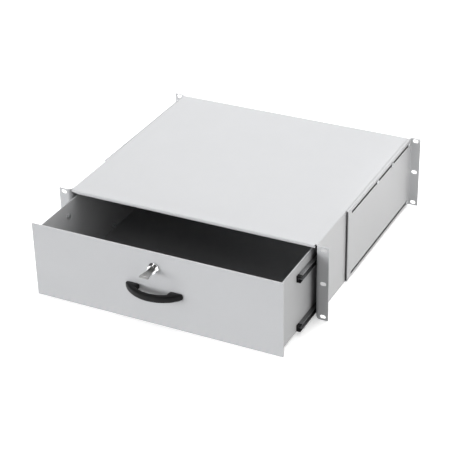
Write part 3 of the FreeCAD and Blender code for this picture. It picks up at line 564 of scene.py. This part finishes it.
class RackDrawerFasteners(bpy.types.PropertyGroup):
    """Sizes of the screws and studs."""
    bracket_shank: FloatProperty(name="Bracket screw", description="Radius of the bracket screws",
                                 unit="LENGTH", min=0.0005, max=0.01, default=2.0 * MM)
    bracket_rise: FloatProperty(name="Bracket screw head", description="Height of their heads",
                                unit="LENGTH", min=0.0005, max=0.01, default=2.4 * MM)
    slide_shank: FloatProperty(name="Slide screw", description="Radius of the slide screws",
                               unit="LENGTH", min=0.0005, max=0.01, default=2.0 * MM)
    slide_rise: FloatProperty(name="Slide screw head", description="Height of their heads",
                              unit="LENGTH", min=0.0005, max=0.01, default=1.3 * MM)
    recess: FloatProperty(name="Recess", description="Depth of the cross recess", unit="LENGTH",
                          min=0.0, max=0.003, default=1.3 * MM)
    slide_recess: FloatProperty(name="Slide screw recess", unit="LENGTH", min=0.0, max=0.002,
                                default=0.7 * MM, description="Depth of the slide screws' recess")
    thread_pitch: FloatProperty(name="Thread pitch", description="Pitch of the panel studs",
                                unit="LENGTH", min=0.0003, max=0.002, default=0.7 * MM)


class RackDrawerStage(bpy.types.PropertyGroup):
    """Camera, lights and floor."""
    eye: FloatVectorProperty(name="Eye", description="Place of the camera", size=3, unit="LENGTH",
                             default=(0.96972, -1.77430, 1.20138))
    aim: FloatVectorProperty(name="Aim", description="Rotation of the camera", size=3,
                             subtype="EULER", unit="ROTATION",
                             default=(1.05064715, 0.02322443, 0.46333272))
    lens: FloatProperty(name="Lens", description="Focal length in millimetres", min=10.0, max=400.0,
                        default=116.33)
    shift: FloatVectorProperty(name="Shift", description="Shift of the camera's frame", size=2,
                               min=-0.1, max=0.1, default=(0.0158, 0.0045))
    overhead: FloatProperty(name="Overhead light", description="Power of the large softbox above",
                            min=0.0, max=500.0, default=60.0)
    side: FloatProperty(name="Side light", description="Power of the softbox on the right",
                        min=0.0, max=500.0, default=4.8)
    front: FloatProperty(name="Front light", description="Power of the narrow softbox in front",
                         min=0.0, max=500.0, default=3.4)
    rear_ear: FloatProperty(name="Rear ear light", min=0.0, max=500.0, default=36.0,
                            description="Power of the narrow spot on the right rear ear")
    rear_ear_cone: FloatProperty(name="Rear ear cone", description="Angle of that spot's cone",
                                 subtype="ANGLE", min=0.02, max=1.0, default=math.radians(5.2))
    ring: FloatProperty(name="Ring", description="Strength of the light round the horizon",
                        min=0.0, max=20.0, default=3.1)
    opening: FloatProperty(name="Opening", subtype="ANGLE", min=-3.2, max=3.2,
                           default=math.radians(30.0),
                           description="Direction of the ring's opening, from the front to the right")
    opening_share: FloatProperty(name="Light in the opening", description="Share of the ring's light",
                                 min=0.0, max=1.0, default=0.12)
    key: FloatProperty(name="Key light", description="Strength of the light at the front left",
                       min=0.0, max=50.0, default=7.7)
    key_side: FloatProperty(name="Key direction", subtype="ANGLE", min=-3.2, max=3.2,
                            default=math.radians(-38.0),
                            description="Direction of the key light, from the front to the right")
    low_height: FloatProperty(name="Low light height", min=0.01, max=1.0, default=0.3,
                              description="Sine of the elevation where ring and key light start to fade")
    fill: FloatProperty(name="Fill", description="Strength of the light from the whole sky",
                        min=0.0, max=5.0, default=0.1)
    floor_light: FloatProperty(name="Light from the floor", min=0.0, max=5.0, default=0.5,
                               description="Strength of the light from below")
    floor_glow: FloatProperty(name="Floor glow", description="Light given off by the floor itself",
                              min=0.0, max=5.0, default=0.32)
    floor_reach: FloatProperty(name="Floor reach", unit="LENGTH", min=1.0, max=100.0, default=60.0,
                               description="From the middle of the floor to its edge")
    floor_gap: FloatProperty(name="Floor gap", description="Floor below the lowest part",
                             unit="LENGTH", min=0.0, max=0.01, default=0.5 * MM)
    floor: FloatVectorProperty(name="Floor", description="Colour of the floor", size=3,
                               subtype="COLOR", min=0.0, max=1.0, default=(0.95, 0.95, 0.95))


# ---- operators --------------------------------------------------------------------------------
class RACKDRAWER_OT_finishes(bpy.types.Operator):
    """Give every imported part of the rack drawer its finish"""
    bl_idname = "rackdrawer.finishes"
    bl_label = "Finish the packed parts"

    def execute(self, context):
        f = context.scene.rack_drawer_finishes
        coat = powder_coat("light_grey_powder_coat", tuple(f.coat), f.coat_roughness, f.coat_grain,
                           f.coat_depth)
        slide = plated_steel("dark_slide_plating", tuple(f.slide), 0.42, 0.6 * MM, (1.0, 0.04, 1.0))
        member = plated_steel("inner_member_plating", tuple(f.member), 0.36, 0.6 * MM,
                              (1.0, 0.04, 1.0))
        zinc = plated_steel("zinc_plating", tuple(f.zinc), 0.34, 0.5 * MM)
        balls = polished_chrome("bearing_steel", (0.72, 0.72, 0.73), 0.05)
        chrome = polished_chrome("lock_chrome", tuple(f.chrome), 0.06)
        brass = plated_steel("turned_brass", (0.5, 0.38, 0.18), 0.32, 0.3 * MM)
        moulding = moulded_plastic("black_end_moulding", tuple(f.moulding), 0.46, 0.35 * MM)
        rubber = soft_rubber("buffer_rubber", (0.02, 0.02, 0.02))
        # Bracket coat with painted shade: a near-black colour on the plate's inner faces and the cut
        # edges of its slots, standing in for the shade in the channel.
        bracket = powder_coat("bracket_coat_painted_shade", tuple(f.coat), f.coat_roughness, f.coat_grain,
                              f.coat_depth)
        shade_reach = 3.6 * MM
        flange_bare = 1.4 * MM
        front_bare = 0.3 * MM
        ear_bare = 5.0 * MM
        paint_channel_shade(bracket, tuple(f.painted_shade), bracket_low.x + shade_reach,
                     bracket_high.z - flange_bare, bracket_low.y + front_bare,
                     bracket_high.y - ear_bare)
        # The drawer box's coat, darkened as painted shade for the deeper shade inside it.
        inner = powder_coat("drawer_coat_painted_shade", shade(tuple(f.coat), f.drawer_shade_share),
                            f.coat_roughness, f.coat_grain, f.coat_depth)
        finishes = {
            coat: ["case_cover", "case_back", "front_panel"],
            inner: ["drawer_tray", "drawer_back"],
            bracket: ["rear_bracket_right", "rear_bracket_left"],
            slide: [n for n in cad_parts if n.startswith("drawer_channel_")],
            member: [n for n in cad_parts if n.startswith("case_rail_")] + ["ball_cages"],
            zinc: ["open_stops", "bracket_spacers", "bracket_screws", "channel_screws",
                   "channel_nuts", "panel_studs", "panel_nuts", "handle_screws", "lock_cam",
                   "cam_screw", "key"],
            balls: ["slide_balls"],
            chrome: ["lock_housing", "lock_plug"],
            brass: ["lock_nut"],
            moulding: ["channel_caps", "handle"],
            rubber: ["closed_buffers"],
        }
        for material, nodes in finishes.items():
            for node in nodes:
                dress(node, material)
        left = set(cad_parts) - {node for nodes in finishes.values() for node in nodes}
        if left:
            raise RuntimeError("no finish for " + ", ".join(sorted(left)))
        return {"FINISHED"}


class RACKDRAWER_OT_handle(bpy.types.Operator):
    """Make the moulded bow handle"""
    bl_idname = "rackdrawer.handle"
    bl_label = "Bow handle"

    def execute(self, context):
        h = context.scene.rack_drawer_handle
        half = (handle_high.x - handle_low.x) / 2.0
        reach = handle_high.y - handle_low.y
        grid = bow_grid(half, reach, h.tip, half - h.foot, reach - h.grip, h.wall,
                        handle_high.z - handle_low.z, h.draft, h.draft_rise, h.rows, h.columns)
        points = np.stack([grid[..., 0], handle_high.y - grid[..., 1],
                           (handle_low.z + handle_high.z) / 2.0 + grid[..., 2]], axis=-1)
        bow = mesh_piece("handle_bow", [tube(points)])
        moulding = moulded_plastic("handle_moulding",
                                   tuple(context.scene.rack_drawer_finishes.moulding), 0.4, 0.4 * MM)
        finish_piece(bow, "drawer", moulding, "black_moulding", "handle")
        return {"FINISHED"}


class RACKDRAWER_OT_lock(bpy.types.Operator):
    """Make the chrome collar of the lock and its barrel with two flats"""
    bl_idname = "rackdrawer.lock"
    bl_label = "Lock collar"

    def execute(self, context):
        rim = (lock_high.x - lock_low.x) / 2.0
        front = lock_low.y
        seat = PANEL_FRONT
        back = lock_high.y
        reach = seat - front
        bore = 6.05 * MM
        barrel = 8.0 * MM
        flat = 7.0 * MM
        segments = 96
        cone = [(rim, 0.0), (rim, 0.18 * reach)]
        waist = arc_profile(rim - 0.25 * reach, 0.2 * reach, 0.25 * reach, 0.0, 38.0, 6)
        nose = arc_profile(7.0 * MM, reach - 1.1 * MM, 1.1 * MM, 40.0, 90.0, 8)
        bowl = arc_profile(bore, reach - 0.25 * MM, 0.25 * MM, 90.0, 180.0, 4)
        outside = np.vstack([[(bore, -(back - seat)), (barrel - 0.4 * MM, -(back - seat)),
                              (barrel, -(back - seat) + 0.4 * MM), (barrel, 0.0)], cone, waist, nose,
                             bowl, [(bore, reach - 1.0 * MM)]])

        def flats(radius, angle, index):
            """Two flats cut off the barrel: r = min(r, flat/|cos a|) behind the collar."""
            limit = flat / np.maximum(np.abs(np.cos(angle)), 1e-3)
            return np.where((index >= 1) & (index <= 3), np.minimum(radius, limit), radius)

        points = turned((0.0, seat, LOCK_Z), (0.0, -1.0, 0.0), outside, segments, squeeze=flats)[0]
        closed = tube_faces(len(outside), segments, closed_rows=True)
        collar = mesh_piece("lock_collar", [(points, closed, [])])
        chrome = polished_chrome("collar_chrome",
                                 tuple(context.scene.rack_drawer_finishes.chrome), 0.04)
        finish_piece(collar, "drawer", chrome, "chrome", "lock_housing")
        return {"FINISHED"}


class RACKDRAWER_OT_key(bpy.types.Operator):
    """Make the flat key with bevelled edges and a ring hole"""
    bl_idname = "rackdrawer.key"
    bl_label = "Key"

    def execute(self, context):
        thickness = key_high.z - key_low.z
        hole = 2.6 * MM
        hole_inset = 5.72 * MM
        centre = np.array([0.0, key_low.y + hole_inset, (key_low.z + key_high.z) / 2.0])
        length = key_high.y - centre[1]
        bow = key_high.x
        neck = 5.0 * MM
        blade = 4.0 * MM
        step = lock_low.y + 0.15 * MM - centre[1]
        flare = lock_low.y - 5.6 * MM - centre[1]
        right = [(bow - 1.6 * MM, -hole_inset), (bow - 0.4 * MM, -hole_inset + 0.5 * MM),
                 (bow, -hole_inset + 1.8 * MM), (neck, flare), (neck, step), (blade, step),
                 (blade, length - 1.4 * MM), (blade - 0.5 * MM, length - 0.4 * MM),
                 (blade - 1.5 * MM, length)]
        outline = right + [(-x, y) for x, y in right[::-1]]
        bevel = 0.22 * MM
        plate = star_plate(centre, hole, outline, thickness, bevel, 160)
        key = mesh_piece("key_plate", [plate], smooth=False)
        steel = plated_steel("key_nickel", (0.3, 0.3, 0.295), 0.34, 0.4 * MM, (1.0, 0.15, 1.0))
        finish_piece(key, "key", steel, "key_steel", "key")
        return {"FINISHED"}


def solid_boxes(node, reach):
    """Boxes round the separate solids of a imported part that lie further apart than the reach."""
    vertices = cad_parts[node].data.vertices
    points = np.empty(len(vertices) * 3)
    vertices.foreach_get("co", points)
    points = points.reshape(-1, 3)
    boxes = []
    while len(points):
        near = np.linalg.norm(points - points[0], axis=1) < reach
        boxes.append((points[near].min(axis=0), points[near].max(axis=0)))
        points = points[~near]
    return boxes


def pan_heads(node, shank, rise, recess):
    """Pan-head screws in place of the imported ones, whose heads point away from the middle."""
    parts = []
    for low, high in solid_boxes(node, SCREW_SPACE):
        side = 1.0 if low[0] > 0.0 else -1.0
        outer, inner = (high[0], low[0]) if side > 0.0 else (low[0], high[0])
        seat = outer - side * rise
        centre = (seat, (low[1] + high[1]) / 2.0, (low[2] + high[2]) / 2.0)
        parts.append(pan_head(centre, (side, 0.0, 0.0), shank, abs(seat - inner),
                              (high[1] - low[1]) / 2.0, rise, recess))
    return parts


class RACKDRAWER_OT_bracket_screws(bpy.types.Operator):
    """Make the pan-head screws of the rear brackets"""
    bl_idname = "rackdrawer.bracket_screws"
    bl_label = "Bracket screws"

    def execute(self, context):
        f = context.scene.rack_drawer_fasteners
        parts = pan_heads("bracket_screws", f.bracket_shank, f.bracket_rise, f.recess)
        screws = mesh_piece("bracket_screw_heads", parts)
        zinc = plated_steel("bracket_screw_zinc", (0.44, 0.45, 0.46), 0.26, 0.4 * MM)
        finish_piece(screws, "case", zinc, "zinc_fastener", "bracket_screws")
        return {"FINISHED"}


class RACKDRAWER_OT_slide_screws(bpy.types.Operator):
    """Make the low pan-head screws of the slides"""
    bl_idname = "rackdrawer.slide_screws"
    bl_label = "Slide screws"

    def execute(self, context):
        f = context.scene.rack_drawer_fasteners
        parts = pan_heads("channel_screws", f.slide_shank, f.slide_rise, f.slide_recess)
        screws = mesh_piece("slide_screw_heads", parts)
        zinc = plated_steel("slide_screw_zinc", (0.5, 0.51, 0.52), 0.3, 0.4 * MM)
        finish_piece(screws, "drawer", zinc, "zinc_fastener", "channel_screws")
        return {"FINISHED"}


class RACKDRAWER_OT_studs(bpy.types.Operator):
    """Make the threaded studs that carry the front panel"""
    bl_idname = "rackdrawer.studs"
    bl_label = "Panel studs"

    def execute(self, context):
        f = context.scene.rack_drawer_fasteners
        thread_depth = 0.3 * MM
        parts = []
        for low, high in solid_boxes("panel_studs", SCREW_SPACE):
            centre = ((low[0] + high[0]) / 2.0, low[1], (low[2] + high[2]) / 2.0)
            parts.append(threaded(centre, (0.0, 1.0, 0.0), (high[2] - low[2]) / 2.0, high[1] - low[1],
                                  f.thread_pitch, thread_depth))
        studs = mesh_piece("panel_stud_threads", parts)
        copper = plated_steel("stud_copper_flash", (0.4, 0.31, 0.25), 0.36, 0.4 * MM)
        finish_piece(studs, "drawer", copper, "zinc_fastener", "panel_studs")
        return {"FINISHED"}


def studio_world(settings):
    """World light: a ring round the horizon, open at the front right, and a key light, front left.

    Strength = low(z) * above(z) * (ring(d . g) + key(d . k)) + below(z), for a direction d, the
    opening's direction g and the key light's direction k; below(z) is the floor's light under the
    horizon and the fill over it.
    """
    world = bpy.data.worlds.new("studio")
    world.use_nodes = True
    tree = world.node_tree
    background = tree.nodes["Background"]
    direction = tree.nodes.new("ShaderNodeTexCoord").outputs["Generated"]
    split = tree.nodes.new("ShaderNodeSeparateXYZ")
    tree.links.new(direction, split.inputs["Vector"])

    def near(angle):
        """Cosine between each direction and a level one at an angle from the front to the right."""
        node = tree.nodes.new("ShaderNodeVectorMath")
        node.operation = "DOT_PRODUCT"
        tree.links.new(direction, node.inputs[0])
        node.inputs[1].default_value = (math.sin(angle), -math.cos(angle), 0.0)
        return node.outputs["Value"]

    ring = spread(tree, near(settings.opening), settings.ring, settings.ring * settings.opening_share,
                  0.55, 0.85)
    key = spread(tree, near(settings.key_side), 0.0, settings.key, 0.8, 0.92)
    low = spread(tree, split.outputs["Z"], 1.0, 0.0, settings.low_height, 1.4 * settings.low_height)
    horizon = (-0.02, 0.0)
    above = spread(tree, split.outputs["Z"], 0.0, 1.0, *horizon)
    below = spread(tree, split.outputs["Z"], settings.floor_light, settings.fill, *horizon)
    lights = combine(tree, "ADD", ring, key)
    band = combine(tree, "MULTIPLY", low, above)
    strength = combine(tree, "ADD", combine(tree, "MULTIPLY", lights, band), below)
    tree.links.new(strength, background.inputs["Strength"])
    warmth = spread(tree, split.outputs["X"], 0.0, 1.0, -0.2, 0.8)
    tree.links.new(tint(tree, warmth, (0.985, 0.99, 1.0), (1.0, 0.99, 0.965)),
                   background.inputs["Color"])
    return world


def hang_lamp(scene, light, place, facing):
    """Puts a lamp at a place, shining along a direction."""
    holder = bpy.data.objects.new(light.name, light)
    holder.location = place
    holder.rotation_euler = Vector(facing).to_track_quat("-Z", "Y").to_euler()
    scene.collection.objects.link(holder)


def softbox(scene, name, place, facing, width, height, power):
    """Rectangular studio light."""
    light = bpy.data.lights.new(name, "AREA")
    light.shape = "RECTANGLE"
    light.size = width
    light.size_y = height
    light.energy = power
    hang_lamp(scene, light, place, facing)


def narrow_spot(scene, name, place, facing, angle, power):
    """Small spotlight whose cone has the given angle and a soft rim."""
    light = bpy.data.lights.new(name, "SPOT")
    light.spot_size = angle
    light.spot_blend = 0.6
    light.shadow_soft_size = 0.03
    light.energy = power
    hang_lamp(scene, light, place, facing)


def dark_card(name, centre, across, up):
    """Black card that only mirrors see: it breaks up the white reflections in the chrome."""
    centre, across, up = np.array(centre), np.array(across), np.array(up)
    corners = np.array([centre - across - up, centre + across - up, centre + across + up,
                        centre - across + up])
    card = mesh_piece(name, [(corners, [[0, 1, 2, 3]], [])], smooth=False)
    material, tree, shader, place = node_tree("black_card")
    weave = noise(tree, place, 2.0 * MM, 2.0)
    tree.links.new(tint(tree, weave, (0.004, 0.004, 0.004), (0.008, 0.008, 0.008)),
                   shader.inputs["Base Color"])
    shader.inputs["Roughness"].default_value = 0.9
    shader.inputs["Specular IOR Level"].default_value = 0.0
    card.data.materials.append(material)
    card.visible_camera = False
    card.visible_diffuse = False
    card.visible_shadow = False


class RACKDRAWER_OT_stage(bpy.types.Operator):
    """Set up the floor, the lights and the camera"""
    bl_idname = "rackdrawer.stage"
    bl_label = "Stage"

    def execute(self, context):
        s = context.scene.rack_drawer_stage
        scene = context.scene
        scene.view_settings.view_transform = "Standard"
        corners = s.floor_reach * np.array([(-1.0, -1.0), (1.0, -1.0), (1.0, 1.0), (-1.0, 1.0)])
        points = np.column_stack([corners, np.full(4, cad_low.z - s.floor_gap)])
        floor = mesh_piece("floor", [(points, [[0, 1, 2, 3]], [])], smooth=False)
        material, tree, shader, place = node_tree("floor_paper")
        fibre = noise(tree, place, 0.4, 3.0)
        tree.links.new(tint(tree, fibre, shade(tuple(s.floor), 0.995), tuple(s.floor)),
                       shader.inputs["Base Color"])
        shader.inputs["Roughness"].default_value = 0.9
        shader.inputs["Specular IOR Level"].default_value = 0.1
        shader.inputs["Emission Color"].default_value = (1.0, 1.0, 1.0, 1.0)
        shader.inputs["Emission Strength"].default_value = s.floor_glow
        floor.data.materials.append(material)
        floor.visible_diffuse = False
        scene.world = studio_world(s)
        softbox(scene, "overhead_softbox", (0.0, 0.8, 2.0), (0.0, -0.3, -1.0), 2.4, 2.4, s.overhead)
        softbox(scene, "side_softbox", (1.3, -0.1, 0.35), (-1.0, 0.0, -0.27), 0.9, 0.5, s.side)
        softbox(scene, "front_softbox", (-0.1, -1.0, 1.85), (0.05, 0.45, -0.89), 0.3, 1.3, s.front)
        narrow_spot(scene, "rear_ear_spot", (0.45, -1.2, 0.62), (-0.214, 1.61, -0.62),
                    s.rear_ear_cone, s.rear_ear)
        dark_card("left_flag", (-0.32, -0.42, 0.17), (-0.25, 0.38, 0.0), (0.0, 0.0, 0.2))
        dark_card("right_flag", (0.17, -0.3, 0.05), (0.11, 0.08, 0.0), (0.0, 0.0, 0.115))
        camera = bpy.data.cameras.new("camera")
        camera.sensor_width = 36.0
        camera.lens = s.lens
        camera.shift_x, camera.shift_y = s.shift
        camera.clip_end = 100.0
        camera_object = bpy.data.objects.new("camera", camera)
        camera_object.location = s.eye
        camera_object.rotation_euler = s.aim
        scene.collection.objects.link(camera_object)
        scene.camera = camera_object
        return {"FINISHED"}


class RACKDRAWER_PT_panel(bpy.types.Panel):
    """Lists the pieces and their sizes in the sidebar"""
    bl_idname = "RACKDRAWER_PT_panel"
    bl_label = "Rack drawer"
    bl_space_type = "VIEW_3D"
    bl_region_type = "UI"
    bl_category = "Rack drawer"

    def draw(self, context):
        for group_name in GROUPS:
            group = getattr(context.scene, group_name)
            box = self.layout.box()
            for key in group.__class__.__annotations__:
                box.prop(group, key)
        for operator in OPERATORS:
            self.layout.operator(operator.bl_idname)


GROUPS = {
    "rack_drawer_finishes": RackDrawerFinishes,
    "rack_drawer_handle": RackDrawerHandle,
    "rack_drawer_fasteners": RackDrawerFasteners,
    "rack_drawer_stage": RackDrawerStage,
}
OPERATORS = (RACKDRAWER_OT_stage, RACKDRAWER_OT_finishes, RACKDRAWER_OT_handle, RACKDRAWER_OT_lock,
             RACKDRAWER_OT_key, RACKDRAWER_OT_bracket_screws, RACKDRAWER_OT_slide_screws,
             RACKDRAWER_OT_studs)


def register():
    """Registers the properties, operators and panel."""
    for name, group in GROUPS.items():
        bpy.utils.register_class(group)
        setattr(bpy.types.Scene, name, PointerProperty(type=group))
    for operator in OPERATORS:
        bpy.utils.register_class(operator)
    bpy.utils.register_class(RACKDRAWER_PT_panel)


def unregister():
    """Removes them again."""
    bpy.utils.unregister_class(RACKDRAWER_PT_panel)
    for operator in reversed(OPERATORS):
        bpy.utils.unregister_class(operator)
    for name, group in reversed(GROUPS.items()):
        delattr(bpy.types.Scene, name)
        bpy.utils.unregister_class(group)


def main():
    """Registers the add-on and builds every piece in order."""
    register()
    for operator in OPERATORS:
        category, name = operator.bl_idname.split(".")
        getattr(getattr(bpy.ops, category), name)()


if __name__ == "__main__":
    main()
